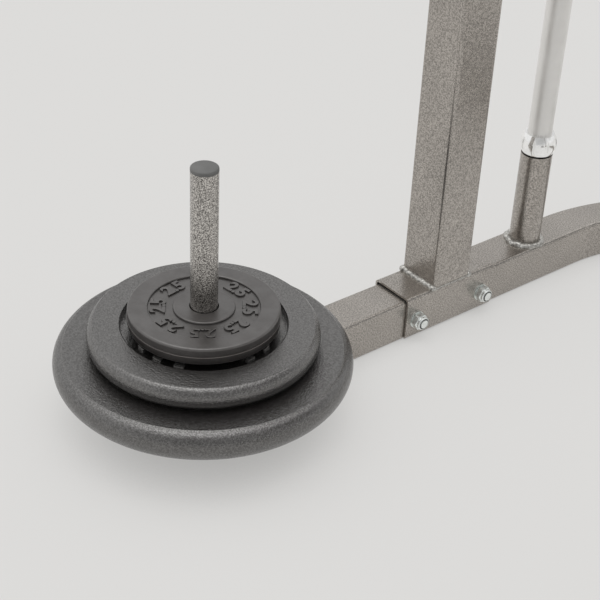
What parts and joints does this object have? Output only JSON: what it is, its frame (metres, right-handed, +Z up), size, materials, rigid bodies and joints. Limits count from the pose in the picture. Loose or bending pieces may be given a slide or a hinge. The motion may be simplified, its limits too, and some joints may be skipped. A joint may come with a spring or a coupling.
{
  "type": "squat stand",
  "caption": "Squat stand: bent floor legs, an upright bolted over each, removable bar hooks, pegs for weight plates and tube holders for a bar.",
  "frame": {"origin": "centre of the whole box at floor level", "axes": "+Z up, +Y to the rear where the legs join, +X to the right across the stand"},
  "size_m": [1.407, 0.9914, 1.683],
  "materials": {
    "paint": "silver-grey hammered enamel with a fine dark speckle",
    "weld_metal": "bright lumpy weld bead",
    "zinc": "bright zinc plate",
    "chrome": "polished chrome",
    "cast_iron": "dark grey textured enamel on cast iron, soft sheen",
    "rubber": "smooth black moulded rubber",
    "black_plastic": "matt dark grey moulded plastic"
  },
  "bodies": {
    "stand": {"left_leg": "paint", "right_leg": "paint", "rear_connector": "paint", "left_saddle": "paint", "right_saddle": "paint", "left_upright": "paint", "right_upright": "paint", "left_plate_peg": "paint", "right_plate_peg": "paint", "left_bar_holder": "paint", "right_bar_holder": "paint", "peg_caps": "black_plastic", "leg_end_caps": "black_plastic", "upright_caps": "black_plastic", "weld_beads": "weld_metal", "frame_bolts": "zinc", "frame_nuts": "zinc", "frame_nut_rings": "black_plastic", "frame_washers": "zinc"},
    "left_hook": {"left_hook_frame": "paint", "left_hook_pin": "zinc", "left_hook_liner": "black_plastic"},
    "left_large": {"left_large_plate": "cast_iron"},
    "left_middle": {"left_middle_plate": "cast_iron"},
    "left_small": {"left_small_plate": "rubber"},
    "right_hook": {"right_hook_frame": "paint", "right_hook_pin": "zinc", "right_hook_liner": "black_plastic"},
    "right_large": {"right_large_plate": "cast_iron"},
    "right_middle": {"right_middle_plate": "cast_iron"},
    "right_small": {"right_small_plate": "rubber"},
    "bar": {"bar_shaft": "chrome", "bar_collars": "chrome"}
  },
  "joints": [
    {"name": "left_large_lift", "type": "slide", "parent": "stand", "child": "left_large", "axis": [0, 0, 1], "range_m": [0, 0.25]},
    {"name": "left_middle_lift", "type": "slide", "parent": "left_large", "child": "left_middle", "axis": [0, 0, 1], "range_m": [0, 0.215]},
    {"name": "left_small_lift", "type": "slide", "parent": "left_middle", "child": "left_small", "axis": [0, 0, 1], "range_m": [0, 0.19]},
    {"name": "left_hook_pull", "type": "slide", "parent": "stand", "child": "left_hook", "axis": [0, -1, 0], "range_m": [0, 0.08]},
    {"name": "right_large_lift", "type": "slide", "parent": "stand", "child": "right_large", "axis": [0, 0, 1], "range_m": [0, 0.25]},
    {"name": "right_middle_lift", "type": "slide", "parent": "right_large", "child": "right_middle", "axis": [0, 0, 1], "range_m": [0, 0.215]},
    {"name": "right_small_lift", "type": "slide", "parent": "right_middle", "child": "right_small", "axis": [0, 0, 1], "range_m": [0, 0.19]},
    {"name": "right_hook_pull", "type": "slide", "parent": "stand", "child": "right_hook", "axis": [0, -1, 0], "range_m": [0, 0.08]},
    {"name": "bar_lift", "type": "slide", "parent": "stand", "child": "bar", "axis": [0, 0, 1], "range_m": [0, 0.125]}
  ]
}
